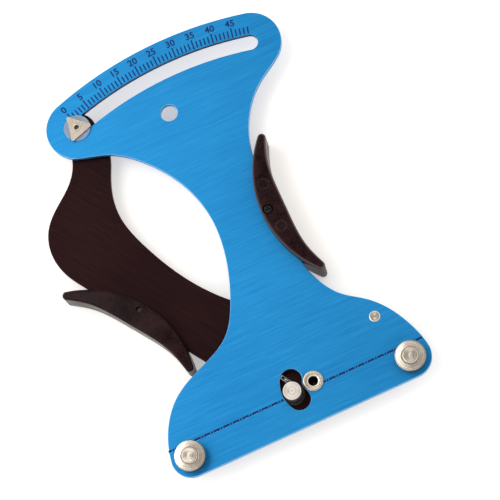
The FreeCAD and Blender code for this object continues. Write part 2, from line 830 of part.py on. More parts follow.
def main():
    os.makedirs("parts", exist_ok=True)
    pieces = build()
    move_to_bench(pieces)
    for name, solid in pieces.items():
        solid.exportStep("parts/%s.step" % name)
        print("%-20s %9.1f mm3, %d solid, valid %s"
              % (name, solid.Volume, len(solid.Solids), solid.isValid()))


main()
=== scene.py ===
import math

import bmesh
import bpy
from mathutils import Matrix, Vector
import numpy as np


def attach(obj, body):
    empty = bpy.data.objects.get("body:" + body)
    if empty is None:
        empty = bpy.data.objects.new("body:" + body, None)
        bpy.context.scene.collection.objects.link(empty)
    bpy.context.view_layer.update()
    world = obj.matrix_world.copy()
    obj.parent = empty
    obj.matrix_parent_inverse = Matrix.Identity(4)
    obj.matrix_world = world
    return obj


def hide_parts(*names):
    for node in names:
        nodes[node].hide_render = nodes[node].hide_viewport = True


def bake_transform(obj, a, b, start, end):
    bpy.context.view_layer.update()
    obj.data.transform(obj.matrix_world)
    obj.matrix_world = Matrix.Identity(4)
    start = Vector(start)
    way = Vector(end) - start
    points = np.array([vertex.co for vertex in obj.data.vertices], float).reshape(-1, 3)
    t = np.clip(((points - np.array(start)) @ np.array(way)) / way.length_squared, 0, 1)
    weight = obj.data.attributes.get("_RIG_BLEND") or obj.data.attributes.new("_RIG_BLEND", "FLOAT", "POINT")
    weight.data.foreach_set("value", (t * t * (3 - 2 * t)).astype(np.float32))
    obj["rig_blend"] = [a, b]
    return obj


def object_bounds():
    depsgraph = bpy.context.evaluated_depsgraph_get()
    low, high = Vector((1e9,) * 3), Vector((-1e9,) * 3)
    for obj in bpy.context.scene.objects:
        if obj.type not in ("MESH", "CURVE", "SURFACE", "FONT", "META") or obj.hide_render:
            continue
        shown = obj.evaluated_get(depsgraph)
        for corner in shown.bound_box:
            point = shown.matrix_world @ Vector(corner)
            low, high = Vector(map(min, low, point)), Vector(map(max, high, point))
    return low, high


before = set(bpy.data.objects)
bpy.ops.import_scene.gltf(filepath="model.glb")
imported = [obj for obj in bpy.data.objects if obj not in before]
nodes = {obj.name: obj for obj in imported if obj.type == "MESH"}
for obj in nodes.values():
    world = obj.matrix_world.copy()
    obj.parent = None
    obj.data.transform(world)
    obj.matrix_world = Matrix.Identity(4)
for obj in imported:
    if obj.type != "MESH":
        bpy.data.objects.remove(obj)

# A spoke tension meter on a pale table: its CAD solids with their finishes, the marks on
# its face, and the return spring, which twists as the arm swings.
#
# Sizes in the tables below are millimetres and degrees, measured from the pivot at the
# front of the face plate, as they are in the part's own source. spot() brings them into
# the frame's metres.

cad_box = [list(corner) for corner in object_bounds()]

MM = 0.001
PIVOT = Vector((20.722, -96.3, 13.8))

# Places


def spot(x, y, z=0.0):
    """A place measured from the pivot in millimetres, in the frame's metres."""
    return (Vector((x, y, z)) + PIVOT) * MM


def polar(radius, angle):
    """X and Y of a place at a radius and an angle from the pivot."""
    turn = math.radians(angle)
    return radius * math.cos(turn), radius * math.sin(turn)


# Middles of the round pieces
LEFT_POST = (-75.1, -10.3)
RIGHT_POST = (51.9, -10.3)
MOVING_POST = polar(12.3, 186.3)
STUD = (44.0, 18.1)
POINTER_PIN = polar(195.8, 108.3)

# Handles: middle, turn and hand of each, and the level and rounding of their faces
HANDLE_FRONT = 7.0
HANDLE_ROUNDING = 1.8
HANDLE_CROWN = 1000.0         # the face falls away by this times the fourth power, in metres
RIGHT_HANDLE = ((29.3, 94.4), 90.0, 1)
LEFT_HANDLE = ((-80.0, 66.6), -54.8, -1)


def on_handle(handle, along, across):
    """X and Y of a place on a handle, from the handle's own middle."""
    centre, turn, hand = handle
    angle = math.radians(turn)
    across = across * hand
    x = along * math.cos(angle) - across * math.sin(angle)
    y = along * math.sin(angle) + across * math.cos(angle)
    return centre[0] + x, centre[1] + y


# Materials


def add_node(tree, kind, values=(), **settings):
    """A node with its settings made and its inputs set or linked, in order or by name."""
    made = tree.nodes.new(kind)
    for setting, value in settings.items():
        setattr(made, setting, value)
    pairs = values.items() if isinstance(values, dict) else enumerate(values)
    for socket, value in pairs:
        if isinstance(value, bpy.types.NodeSocket):
            tree.links.new(value, made.inputs[socket])
        elif value is not None:
            made.inputs[socket].default_value = value
    return made


class Finish:
    """A material under construction: a Principled shader and the nodes that feed it."""

    def __init__(self, name, **shader):
        self.material = bpy.data.materials.new(name)
        self.material.use_nodes = True
        self.tree = self.material.node_tree
        self.shader = self.tree.nodes["Principled BSDF"]
        for socket, value in shader.items():
            self.shader.inputs[socket.replace("_", " ")].default_value = value
        self.coords = self.tree.nodes.new("ShaderNodeTexCoord").outputs["Object"]

    def node(self, kind, values=(), **settings):
        """A node with its settings made and its inputs set or linked, in order."""
        return add_node(self.tree, kind, values, **settings)

    def math(self, operation, *values):
        """One step of arithmetic on sockets or numbers."""
        return self.node("ShaderNodeMath", values, operation=operation).outputs[0]

    def total(self, *parts):
        """Values added up, each times its weight."""
        added = None
        for value, weight in parts:
            weighted = self.math("MULTIPLY", value, weight)
            added = weighted if added is None else self.math("ADD", added, weighted)
        return added

    def axis(self, vector, index):
        """X, Y or Z of a vector, by its index."""
        return self.node("ShaderNodeSeparateXYZ", (vector,)).outputs[index]

    def vector(self, operation, *values, result=0):
        """One step of arithmetic on vectors."""
        return self.node("ShaderNodeVectorMath", values, operation=operation
                         ).outputs[result]

    def from_place(self, place, turn=0.0, scale=(1.0, 1.0, 1.0)):
        """Object coordinates measured from a place, turned and stretched."""
        moved = self.vector("SUBTRACT", self.coords, tuple(place))
        turned = self.node("ShaderNodeVectorRotate",
                           {"Vector": moved, "Angle": -math.radians(turn)},
                           rotation_type="Z_AXIS").outputs[0]
        return self.vector("MULTIPLY", turned, scale)

    def from_axis(self, place):
        """The way out from an upright axis, and the radius."""
        flat = self.vector("MULTIPLY", place, (1.0, 1.0, 0.0))
        return flat, self.vector("LENGTH", flat, result="Value")

    def noise(self, vector, scale, detail=2.0, roughness=0.5):
        """Noise from 0 to 1; its scale counts patches to the metre."""
        return self.node("ShaderNodeTexNoise",
                         {"Vector": vector, "Scale": scale, "Detail": detail,
                          "Roughness": roughness}).outputs["Fac"]

    def spread(self, value, low, high, new_low=0.0, new_high=1.0):
        """The value's run from low to high, laid over new_low to new_high."""
        return self.node("ShaderNodeMapRange", (value, low, high, new_low, new_high)
                         ).outputs[0]

    def mix(self, share, first, second):
        """A colour between two, each a socket or red, green and blue."""
        ends = [end if isinstance(end, bpy.types.NodeSocket) else (*end, 1.0)
                for end in (first, second)]
        made = self.node("ShaderNodeMix", {0: share, 6: ends[0], 7: ends[1]},
                         data_type="RGBA")
        return made.outputs[2]

    def feed(self, **sources):
        """Link sources to the shader's sockets."""
        for socket, source in sources.items():
            self.tree.links.new(source, self.shader.inputs[socket.replace("_", " ")])
        return self

    def relief(self, height, depth, strength=1.0, bow=None):
        """Bump of a depth in millimetres from a height that runs from 0 to 1.

        A bow is a broad swell under it, already in metres."""
        under = None
        if bow is not None:
            under = self.node("ShaderNodeBump", {"Height": bow, "Strength": 1.0,
                                                 "Distance": 1.0}).outputs[0]
        bump = self.node("ShaderNodeBump", {"Height": height, "Strength": strength,
                                            "Distance": depth * MM, "Normal": under})
        return self.feed(Normal=bump.outputs[0])

    def put_on(self, *pieces):
        """Cover whole pieces with this material."""
        for piece in pieces:
            data = piece.data
            if not data.materials:
                data.materials.append(self.material)
            for index in range(len(data.materials)):
                data.materials[index] = self.material
        return self.material


# Brushing: streaks to the metre along and across the brush
FINE_STREAKS = (48.0, 2600.0, 2600.0)
BROAD_STREAKS = (20.0, 1250.0, 1250.0)
CLOUDS = 16.0

# Levels on a sheet's edge, in millimetres below its front or above its back
RIM_END = 0.46
RIM_START = 0.34
RIM_CORNER = 0.08
BACK_CORNER = (0.02, 0.06)
REAR_SHARE = 0.85
RIM_WEAR_AND_HIGHLIGHT_SHARE = 0.7


def slot_share(finish, radii, ends):
    """1 in the ring between two radii from the pivot and two ends in X, and 0 outside."""
    flat, radius = finish.from_axis(finish.from_place(spot(0.0, 0.0)))
    across = finish.axis(flat, 0)
    (inner, outer), (left, right) = radii, ends
    share = finish.spread(radius, (inner - 1.0) * MM, inner * MM)
    for value, start, end in ((radius, outer + 1.0, outer), (across, left - 1.0, left),
                              (across, right + 1.0, right)):
        share = finish.math("MULTIPLY", share, finish.spread(value, start * MM, end * MM))
    return share


def brushed(name, light, dark, rear, worn, cut, front, thick, turn, metal, roughness,
            slot=None, **shader):
    """Anodised sheet, brushed one way on its front, with cut walls and a paler front rim, partly wear and
    partly a painted highlight.

    A slot is the radii, the ends in X and the colour of the painted shade on its wall."""
    finish = Finish(name, Metallic=metal, **shader)
    fine = finish.noise(finish.from_place((0, 0, 0), turn, FINE_STREAKS), 1.0, 3.0, 0.62)
    broad = finish.noise(finish.from_place((0, 0, 0), turn, BROAD_STREAKS), 1.0, 2.0, 0.5)
    cloud = finish.noise(finish.coords, CLOUDS)
    streak = finish.total((fine, 0.72), (broad, 0.28))
    shade = finish.spread(finish.total((streak, 1.0), (cloud, 0.25)), 0.42, 0.82)
    tint = finish.mix(shade, dark, light)
    height = finish.axis(finish.coords, 2)
    rim = finish.spread(height, front - RIM_END * MM, front - RIM_START * MM)
    edge = finish.math("MULTIPLY", rim,
                       finish.spread(height, front, front - RIM_CORNER * MM))
    under = finish.math("SUBTRACT", 1.0, rim)
    tint = finish.mix(finish.math("MULTIPLY", under, REAR_SHARE), tint, rear)
    low, high = (front - thick + level * MM for level in BACK_CORNER)
    wall = finish.math("MULTIPLY", under, finish.spread(height, low, high))
    # Painted shade on the slot's wall; the painted rim highlight is left off there
    if slot:
        radii, ends, shaded = slot
        inside = slot_share(finish, radii, ends)
        cut = finish.mix(inside, cut, shaded)
        edge = finish.math("MULTIPLY", edge, finish.math("SUBTRACT", 1.0, inside))
    tint = finish.mix(wall, tint, cut)
    # The front rim's paler colour: partly wear, partly a painted highlight
    tint = finish.mix(finish.math("MULTIPLY", edge, RIM_WEAR_AND_HIGHLIGHT_SHARE), tint, worn)
    rough = finish.spread(streak, 0.3, 0.7, roughness - 0.05, roughness + 0.06)
    finish.feed(Base_Color=tint, Roughness=rough)
    return finish.relief(streak, 0.005, 0.45)


# Turning: rings a tool left, and how far the painted shade in steps, bores and below shanks fades, in
# millimetres
RING_PITCH = 0.16
RING_DEPTH = 0.006
RING_WOBBLE = 0.06
STEP_SHADE_EDGE = (0.32, 0.08)
BORE_EDGE = (0.25, -0.05)
SHANK_EDGE = (0.1, -0.1)
# Painted shade: the dark below a post's flange, inside its bores and at its steps
SHANK_SHADE = (0.050, 0.036, 0.036)
BORE_SHADE = (0.120, 0.080, 0.075)
STEP_SHADE = (0.075, 0.052, 0.040)


def turned_metal(name, colour, shadow, centre, roughness, pitch=RING_PITCH,
                 depth=RING_DEPTH, well=None, shank=None, grime=(), **shader):
    """Metal cut in a lathe, with fine rings round the piece's own axis.

    A well is the radius of a bore painted dark as shade, a shank the height below which the
    metal is painted dark as shade, and grime the radii of the steps painted with a dark ring of shade."""
    finish = Finish(name, **{"Metallic": 1.0, "Anisotropic": 0.85, **shader})
    place = finish.from_place(spot(*centre))
    flat, radius = finish.from_axis(place)
    wobble = finish.math("MULTIPLY", finish.noise(place, 900.0), RING_WOBBLE * MM)
    phase = finish.math("MULTIPLY", finish.math("ADD", radius, wobble),
                        2 * math.pi / (pitch * MM))
    grooves = finish.spread(finish.math("SINE", phase), -1.0, 1.0)
    outward = finish.node("ShaderNodeCombineXYZ", (radius, 0.0, 0.0)).outputs[0]
    smear = finish.noise(outward, 1250.0, 3.0, 0.72)
    cut = finish.total((grooves, 0.45), (smear, 0.55))
    stain = finish.noise(place, 420.0, 3.0, 0.6)
    shade = finish.total((smear, 0.8), (stain, 0.2))
    tint = finish.mix(finish.spread(shade, 0.38, 0.60), shadow, colour)
    # Painted shade: a dark ring at each step, where the step shades the face
    for ring in grime:
        away = finish.math("ABSOLUTE", finish.math("SUBTRACT", radius, ring * MM))
        start, end = (edge * MM for edge in STEP_SHADE_EDGE)
        tint = finish.mix(finish.spread(away, start, end, 0.0, 0.75), tint, STEP_SHADE)
    # Painted shade: inside the well radius the bore is coloured dark as its shade
    if well:
        start, end = ((well + edge) * MM for edge in BORE_EDGE)
        tint = finish.mix(finish.spread(radius, start, end), tint, BORE_SHADE)
    # Painted shade: darker below the shank height, where the flange shades the post
    if shank:
        start, end = ((shank + PIVOT.z + edge) * MM for edge in SHANK_EDGE)
        below = finish.spread(finish.axis(finish.coords, 2), start, end)
        tint = finish.mix(below, tint, SHANK_SHADE)
    rough = finish.spread(cut, 0.2, 0.8, roughness - 0.05, roughness + 0.09)
    along = finish.vector("CROSS_PRODUCT", (0.0, 0.0, 1.0), flat)
    along = finish.node("ShaderNodeVectorTransform", (along,), vector_type="VECTOR",
                        convert_from="OBJECT", convert_to="WORLD").outputs[0]
    finish.feed(Base_Color=tint, Roughness=rough,
                Tangent=finish.vector("NORMALIZE", along))
    return finish.relief(cut, depth, 0.5)


# Moulding: patches to the metre of the sparked grain, its specks and the worn areas
SPARK_GRAIN = 3600.0
SPARK_CELLS = 2500.0
SPECKS = 1500.0
WORN_PATCHES = 95.0


def moulded(name, light, dark, roughness, handle=None, **shader):
    """Moulded plastic: a fine spark-eroded grain with worn, smoother patches.

    On a handle the face bows towards its ends, and its rounded edge has a painted highlight."""
    finish = Finish(name, **shader)
    grain = finish.noise(finish.coords, SPARK_GRAIN, 2.0, 0.65)
    cells = finish.node("ShaderNodeTexVoronoi",
                        {"Vector": finish.coords, "Scale": SPARK_CELLS},
                        feature="SMOOTH_F1").outputs["Distance"]
    patch = finish.noise(finish.coords, WORN_PATCHES, 3.0, 0.55)
    speck = finish.noise(finish.coords, SPECKS, 2.0, 0.7)
    fine = finish.total((grain, 0.6), (cells, 0.5))
    shade = finish.total((speck, 0.6), (patch, 0.4))
    tint = finish.mix(finish.spread(shade, 0.42, 0.62), dark, light)
    rough = finish.spread(patch, 0.3, 0.7, roughness - 0.08, roughness + 0.07)
    bow = None
    if handle:
        (middle, turn, _), edge_highlight = handle
        face = finish.from_place(spot(*middle, HANDLE_FRONT), turn)
        away = finish.math("ABSOLUTE", finish.axis(face, 0))
        bow = finish.math("MULTIPLY", finish.math("POWER", away, 4.0), -HANDLE_CROWN)
        above = finish.axis(face, 2)
        # Painted highlight: a paler band along the rounded edge of the handle's face
        start, end = -HANDLE_ROUNDING * MM, -0.06 * HANDLE_ROUNDING * MM
        edge = finish.math("MULTIPLY", finish.spread(above, start, 0.5 * start),
                           finish.spread(above, end, 4.0 * end))
        tint = finish.mix(finish.math("MULTIPLY", edge, 0.75), tint, edge_highlight)
    finish.feed(Base_Color=tint, Roughness=rough)
    return finish.relief(fine, 0.034, 0.6, bow)


def worn_metal(name, colour, shadow, roughness, scale=700.0, **shader):
    """Plated or oiled metal with small stains and no lines of cutting."""
    finish = Finish(name, Metallic=1.0, **shader)
    stain = finish.noise(finish.coords, scale, 4.0, 0.6)
    haze = finish.noise(finish.coords, scale * 0.2)
    shade = finish.total((stain, 0.5), (haze, 0.5))
    tint = finish.mix(finish.spread(shade, 0.34, 0.66), shadow, colour)
    rough = finish.spread(stain, 0.3, 0.7, roughness - 0.06, roughness + 0.09)
    finish.feed(Base_Color=tint, Roughness=rough)
    return finish.relief(stain, 0.008, 0.4)


STEEL = (1.0, 0.90, 0.775)
STEEL_SHADE = (0.46, 0.385, 0.30)
# A lighter copy of the steel, painted brighter for the light on the moving post's face
STEEL_PAINTED_LIT = (1.0, 0.95, 0.89)

# The two sheets and the gap between them, in millimetres
PLATE_THICKNESS = 3.2
ARM_THICKNESS = 2.6
PLATE_GAP = 1.0
PLATE_FRONT = PIVOT.z * MM
ARM_FRONT = (PIVOT.z - PLATE_THICKNESS - PLATE_GAP) * MM

# The slot's wall lies inside these radii and ends in X, and is painted dark as its shade
SLOT_RADII = (189.0, 203.5)
SLOT_ENDS = (-68.5, 53.5)
SLOT_WALL_SHADE = (0.001, 0.009, 0.060)

brushed("blue_anodised_sheet", light=(0.027, 0.348, 0.748), dark=(0.009, 0.224, 0.562),
        rear=(0.006, 0.100, 0.330), worn=(0.40, 0.74, 1.0), cut=(0.040, 0.230, 0.540),
        front=PLATE_FRONT, thick=PLATE_THICKNESS * MM, turn=0.0, metal=0.62, roughness=0.40,
        slot=(SLOT_RADII, SLOT_ENDS, SLOT_WALL_SHADE),
        Specular_IOR_Level=0.24).put_on(nodes["face_plate"])
brushed("dark_anodised_sheet", light=(0.030, 0.0100, 0.0108), dark=(0.0085, 0.0020, 0.0024),
        rear=(0.016, 0.0050, 0.0055), worn=(0.09, 0.045, 0.045), cut=(0.014, 0.006, 0.006),
        front=ARM_FRONT, thick=ARM_THICKNESS * MM, turn=-56.0, metal=0.80, roughness=0.44,
        Specular_IOR_Level=0.2).put_on(nodes["swing_arm"])
turned_metal("spring_stud_turned", STEEL, STEEL_SHADE, STUD, 0.24
             ).put_on(nodes["spring_stud"])
turned_metal("pivot_back_washer_turned", (0.66, 0.64, 0.60), (0.48, 0.46, 0.43),
             (0.0, 0.0), 0.32, 0.22).put_on(nodes["pivot_back_washer"])
turned_metal("pivot_bush_bronze", (0.66, 0.43, 0.20), (0.47, 0.29, 0.13), (0.0, 0.0),
             0.33, 0.2).put_on(nodes["pivot_bush"])
turned_metal("pointer_rivet_turned", STEEL, STEEL_SHADE, POINTER_PIN, 0.25, 0.2,
             well=1.25).put_on(nodes["pointer_rivet"])
worn_metal("pointer_nickel", (0.58, 0.51, 0.425), (0.45, 0.395, 0.32), 0.30, 240.0
           ).put_on(nodes["pointer"])
worn_metal("oiled_black_steel", (0.060, 0.056, 0.056), (0.022, 0.020, 0.021), 0.30
           ).put_on(nodes["right_handle_screw"], nodes["left_handle_screw"])
# The handles' paler edge colour is a painted highlight
for side, handle in (("right", RIGHT_HANDLE), ("left", LEFT_HANDLE)):
    moulded(f"moulded_dark_{side}_handle", (0.034, 0.0125, 0.0135), (0.0055, 0.0010, 0.0014),
            0.30, (handle, (0.130, 0.090, 0.086)), Specular_IOR_Level=0.09
            ).put_on(nodes[f"{side}_handle_front"], nodes[f"{side}_handle_rear"])
moulded("pale_washer_plastic", (0.80, 0.78, 0.72), (0.66, 0.64, 0.59), 0.38).put_on(
    nodes["pivot_mid_washer"], nodes["slot_bush"], nodes["slot_rear_washer"])

frosted = Finish("frosted_clear_plastic", Transmission_Weight=0.70, IOR=1.46)
haze = frosted.noise(frosted.coords, 260.0)
frosted.feed(Base_Color=frosted.mix(haze, (0.56, 0.74, 0.93), (0.74, 0.85, 0.97)),
             Roughness=frosted.spread(haze, 0.3, 0.7, 0.30, 0.42))
frosted.relief(haze, 0.01, 0.3).put_on(nodes["pointer_washer"])

# Turned pieces

ROUND = 120
SHARP_TURN = 32.0


def lathe(name, profile, centre, body, finish, replaces=None, closed=False):
    """A piece turned from a profile of radius and height, in millimetres."""
    shape = bmesh.new()
    rings = []
    for radius, height in profile:
        if radius == 0:
            rings.append([shape.verts.new(spot(*centre, height))])
            continue
        rings.append([shape.verts.new(spot(
            centre[0] + radius * math.cos(2 * math.pi * step / ROUND),
            centre[1] + radius * math.sin(2 * math.pi * step / ROUND), height))
            for step in range(ROUND)])
    pairs = list(zip(rings, rings[1:] + rings[:1]))
    for first, second in pairs if closed else pairs[:-1]:
        for step in range(ROUND):
            on = (step + 1) % ROUND
            corners = [first[step % len(first)], first[on % len(first)],
                       second[on % len(second)], second[step % len(second)]]
            shape.faces.new(list(dict.fromkeys(corners)))
    bmesh.ops.recalc_face_normals(shape, faces=shape.faces)
    mesh = bpy.data.meshes.new(name)
    shape.to_mesh(mesh)
    shape.free()
    mesh.shade_smooth()
    mesh.set_sharp_from_angle(angle=math.radians(SHARP_TURN))
    piece = bpy.data.objects.new(name, mesh)
    bpy.context.scene.collection.objects.link(piece)
    finish.put_on(piece)
    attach(piece, body)
    if replaces:
        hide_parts(replaces)


def faced(outer, inner, first_level, last_level, rings, depth=0.03):
    """Points of a faced or coned surface: shallow tool rings from outer to inner."""
    points = []
    for step in range(2 * rings + 1):
        share = step / (2 * rings)
        level = first_level + (last_level - first_level) * share
        points.append((outer + (inner - outer) * share, level - depth * (step % 2)))
    return points


POST_FACE = ([(8.0, 5.0), (8.3, 5.25), (8.3, 5.85), (8.12, 6.06), (7.9, 6.1)]
             + faced(7.7, 4.95, 6.12, 6.62, 6, 0.035)
             + [(4.8, 6.6), (4.62, 6.48), (4.42, 6.5), (4.3, 6.62), (4.3, 7.1), (3.85, 7.54)]
             + faced(3.7, 0.75, 7.58, 7.58, 5, 0.035)
             + [(0.62, 7.48), (0.45, 7.5), (0.3, 7.6), (0, 7.6)])
FIXED_POST = [(0, -4.18), (0.9, -4.18), (1.2, -4.3), (4.1, -4.3), (4.4, -4.0), (4.4, -3.2),
              (3.0, -3.2), (3.0, 0.0), (7.5, 0.0), (7.6, 0.1), (7.6, 0.48), (7.48, 0.6),
              (7.0, 0.6), (6.78, 0.75), (6.6, 1.2), (6.6, 2.8), (6.6, 4.4), (6.78, 4.85),
              (7.0, 5.0)] + POST_FACE
MOVED_POST = ([(0, -7.7), (2.4, -7.7), (2.7, -7.4), (2.7, -6.8), (2.2, -6.8), (2.2, -4.2),
               (5.9, -4.2), (6.0, -4.1), (6.0, -3.8), (5.9, -3.7), (4.9, -3.7), (4.9, 0.45),
               (4.75, 0.6), (4.0, 0.6), (3.45, 0.85), (3.2, 1.4), (3.2, 4.2), (3.45, 4.75),
               (4.0, 5.0), (4.8, 5.0), (5.0, 5.2), (5.0, 6.15), (4.82, 6.36), (4.6, 6.4)]
              + faced(4.45, 0.6, 6.4, 6.4, 8)
              + [(0.45, 6.33), (0.25, 6.38), (0, 6.38)])
RIVET = [(0, -13.48), (5.6, -13.48), (6.0, -13.3), (6.2, -12.95), (6.2, -12.29),
         (3.5, -12.29), (3.5, 0.0), (5.3, 0.0), (5.6, 0.25), (5.6, 0.65), (5.5, 0.95),
         (5.25, 1.18), (4.95, 1.29), (4.55, 1.3), (4.2, 1.26), (4.05, 1.12), (3.9, 1.12),
         (3.75, 1.24), (3.4, 1.26), (3.0, 1.12), (2.65, 0.85), (2.4, 0.45), (2.2, 0.0),
         (2.1, -0.6), (2.1, -9.0), (0, -11.1)]

# Each turned piece: its profile, centre, body and slot, then its finish
# Radii of the post steps that get a ring of painted shade
POST_STEPS = (4.5, 8.28)
MOVING_POST_STEPS = (5.0,)
TURNED = (
    ("left_fixed_post", FIXED_POST, LEFT_POST, "plate", "turned_steel", STEEL, 0.26,
     {"shank": 5.3, "grime": POST_STEPS}),
    ("right_fixed_post", FIXED_POST, RIGHT_POST, "plate", "turned_steel", STEEL, 0.26,
     {"shank": 5.3, "grime": POST_STEPS}),
    ("moving_post", MOVED_POST, MOVING_POST, "arm", "turned_steel", STEEL_PAINTED_LIT, 0.46,
     {"shank": 4.95, "grime": MOVING_POST_STEPS, "Metallic": 0.35}),
    ("pivot_rivet", RIVET, (0.0, 0.0), "plate", "rivet_steel", STEEL, 0.24,
     {"well": 2.2}))
for name, profile, centre, body, slot, colour, level, extras in TURNED:
    steel = turned_metal(name + "_steel", colour, STEEL_SHADE, centre, level, **extras)
    lathe(name + "_turned", profile, centre, body, steel, name)

# Rings that the ejector pins left on the right handle's face
EJECTOR_PLACES = ((14.6, 9.8), (-11.1, 10.4))
EJECTOR_RADIUS = 2.9
witness = moulded("ejector_witness", (0.050, 0.026, 0.028), (0.022, 0.010, 0.011), 0.26,
                  Specular_IOR_Level=0.5)
for number, (along, across) in enumerate(EJECTOR_PLACES, 1):
    ring = [(EJECTOR_RADIUS + out, HANDLE_FRONT + up) for out, up in
            ((-0.11, -0.05), (0.11, -0.05), (0.11, 0.02), (0.05, 0.06), (-0.05, 0.06),
             (-0.11, 0.02))]
    lathe(f"ejector_ring_{number}", ring, on_handle(RIGHT_HANDLE, along, across), "plate",
          witness, closed=True)

# Printing

ink = Finish("navy_marking", Specular_IOR_Level=0.2)
ink_grain = ink.noise(ink.coords, 4200.0, 3.0, 0.6)
ink.feed(Base_Color=ink.mix(ink.spread(ink_grain, 0.35, 0.65), (0.002, 0.020, 0.125),
                            (0.005, 0.038, 0.195)),
         Roughness=ink.spread(ink_grain, 0.3, 0.7, 0.42, 0.58))
ink.relief(ink_grain, 0.01, 0.5)

INK_HEIGHT = 0.035
INK_SUNK = 0.015


def mark_tree():
    """Geometry Nodes: on each point a small rounded bar, as long as the point says."""
    tree = bpy.data.node_groups.new("marking_bars", "GeometryNodeTree")
    face = tree.interface
    face.new_socket(name="Geometry", in_out="INPUT", socket_type="NodeSocketGeometry")
    for name in ("Width", "Corner", "Height"):
        face.new_socket(name=name, in_out="INPUT", socket_type="NodeSocketFloat")
    face.new_socket(name="Finish", in_out="INPUT", socket_type="NodeSocketMaterial")
    face.new_socket(name="Geometry", in_out="OUTPUT", socket_type="NodeSocketGeometry")

    def add(kind, values=(), **settings):
        return add_node(tree, kind, values, **settings)

    given = add("NodeGroupInput").outputs
    outline = add("GeometryNodeCurvePrimitiveQuadrilateral",
                  {"Width": 1.0 * MM, "Height": given["Width"]}).outputs[0]
    rounded = add("GeometryNodeFilletCurve", {"Curve": outline, "Radius": given["Corner"],
                                              "Count": 2, "Limit Radius": True},
                  mode="POLY").outputs[0]
    bottom = add("GeometryNodeFillCurve", {"Curve": rounded}, mode="NGONS").outputs[0]
    raised = add("GeometryNodeExtrudeMesh",
                 {"Mesh": bottom, "Offset Scale": given["Height"], "Individual": False})
    flipped = add("GeometryNodeFlipFaces", {"Mesh": bottom}).outputs[0]
    both = add("GeometryNodeJoinGeometry")
    tree.links.new(raised.outputs["Mesh"], both.inputs[0])
    tree.links.new(flipped, both.inputs[0])
    bar = add("GeometryNodeMergeByDistance", {"Geometry": both.outputs[0],
                                              "Distance": 0.001 * MM}).outputs[0]
    length = add("GeometryNodeInputNamedAttribute", {"Name": "length"},
                 data_type="FLOAT").outputs["Attribute"]
    turn = add("GeometryNodeInputNamedAttribute", {"Name": "turn"},
               data_type="FLOAT").outputs["Attribute"]
    size = add("ShaderNodeCombineXYZ", (length, 1.0, 1.0)).outputs[0]
    angle = add("ShaderNodeCombineXYZ", (0.0, 0.0, turn)).outputs[0]
    placed = add("GeometryNodeInstanceOnPoints",
                 {"Points": given["Geometry"], "Instance": bar, "Rotation": angle,
                  "Scale": size}).outputs[0]
    real = add("GeometryNodeRealizeInstances", {"Geometry": placed}).outputs[0]
    inked = add("GeometryNodeSetMaterial", {"Geometry": real,
                                            "Material": given["Finish"]}).outputs[0]
    result = add("NodeGroupOutput")
    tree.links.new(inked, result.inputs[0])
    return tree


def marking(name, tree, bars, width, corner, body, finish=ink):
    """One piece of bars: each bar is its middle, its length and its turn."""
    points = bpy.data.meshes.new(name + "_points")
    points.from_pydata([spot(x, y, -INK_SUNK) for (x, y), _, _ in bars], [], [])
    lengths = points.attributes.new("length", "FLOAT", "POINT")
    turns = points.attributes.new("turn", "FLOAT", "POINT")
    lengths.data.foreach_set("value", [length for _, length, _ in bars])
    turns.data.foreach_set("value", [math.radians(turn) for _, _, turn in bars])
    maker = bpy.data.objects.new(name + "_maker", points)
    bpy.context.scene.collection.objects.link(maker)
    modifier = maker.modifiers.new("bars", "NODES")
    modifier.node_group = tree
    sizes = {"Width": width * MM, "Corner": corner * MM,
             "Height": (INK_HEIGHT + INK_SUNK) * MM, "Finish": finish.material}
    for item in tree.interface.items_tree:
        if item.in_out == "INPUT" and item.name in sizes:
            modifier[item.identifier] = sizes[item.name]
    bpy.context.view_layer.update()
    shown = maker.evaluated_get(bpy.context.evaluated_depsgraph_get())
    mesh = bpy.data.meshes.new_from_object(shown)
    maker.modifiers.remove(modifier)
    bpy.data.objects.remove(maker)
    mesh.name = name
    for extra in ("length", "turn"):
        if extra in mesh.attributes:
            mesh.attributes.remove(mesh.attributes[extra])
    piece = bpy.data.objects.new(name, mesh)
    bpy.context.scene.collection.objects.link(piece)
    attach(piece, body)


# The scale: fifty divisions over the slot, every fifth one long and numbered
SCALE_ZERO = 107.92
SCALE_STEP = -0.644
DIVISIONS = 50
NUMBERED = 5
SHORT_TICK = (201.0, 205.1)
LONG_TICK = (200.45, 206.6)
TICK_WIDTH = 0.78

bars_for = mark_tree()
ticks = []
for division in range(DIVISIONS):
    low, high = LONG_TICK if division % NUMBERED == 0 else SHORT_TICK
    angle = SCALE_ZERO + SCALE_STEP * division
    ticks.append((polar((low + high) / 2, angle), high - low, angle))
marking("scale_ticks", bars_for, ticks, TICK_WIDTH, 0.12, "plate")

# The line along which the spoke lies: dashes and dots, left out under the posts, the
# pivot and the window
LINE_Y = -2.7
PERIOD = 5.591
FIRST_DOT = -65.5
DOT = 0.95
GAP = 0.42
LINE_WIDTH = 1.25
LINE_RUNS = ((-85.1, -79.8), (-70.6, -18.45), (4.6, 47.6), (56.4, 62.0))
PERIODS = range(-4, 24)
SHORTEST_BAR = 0.2


def clipped(low, high):
    """The parts of a stretch of the line that show, as bars."""
    for start, end in LINE_RUNS:
        first, last = max(low, start), min(high, end)
        if last - first > SHORTEST_BAR:
            yield ((first + last) / 2, LINE_Y), last - first, 0.0


dashes = []
for count in PERIODS:
    dot = FIRST_DOT + PERIOD * count
    dashes += clipped(dot - DOT / 2, dot + DOT / 2)
    dashes += clipped(dot + DOT / 2 + GAP, dot + PERIOD - DOT / 2 - GAP)
marking("spoke_line", bars_for, dashes, LINE_WIDTH, 0.15, "plate")

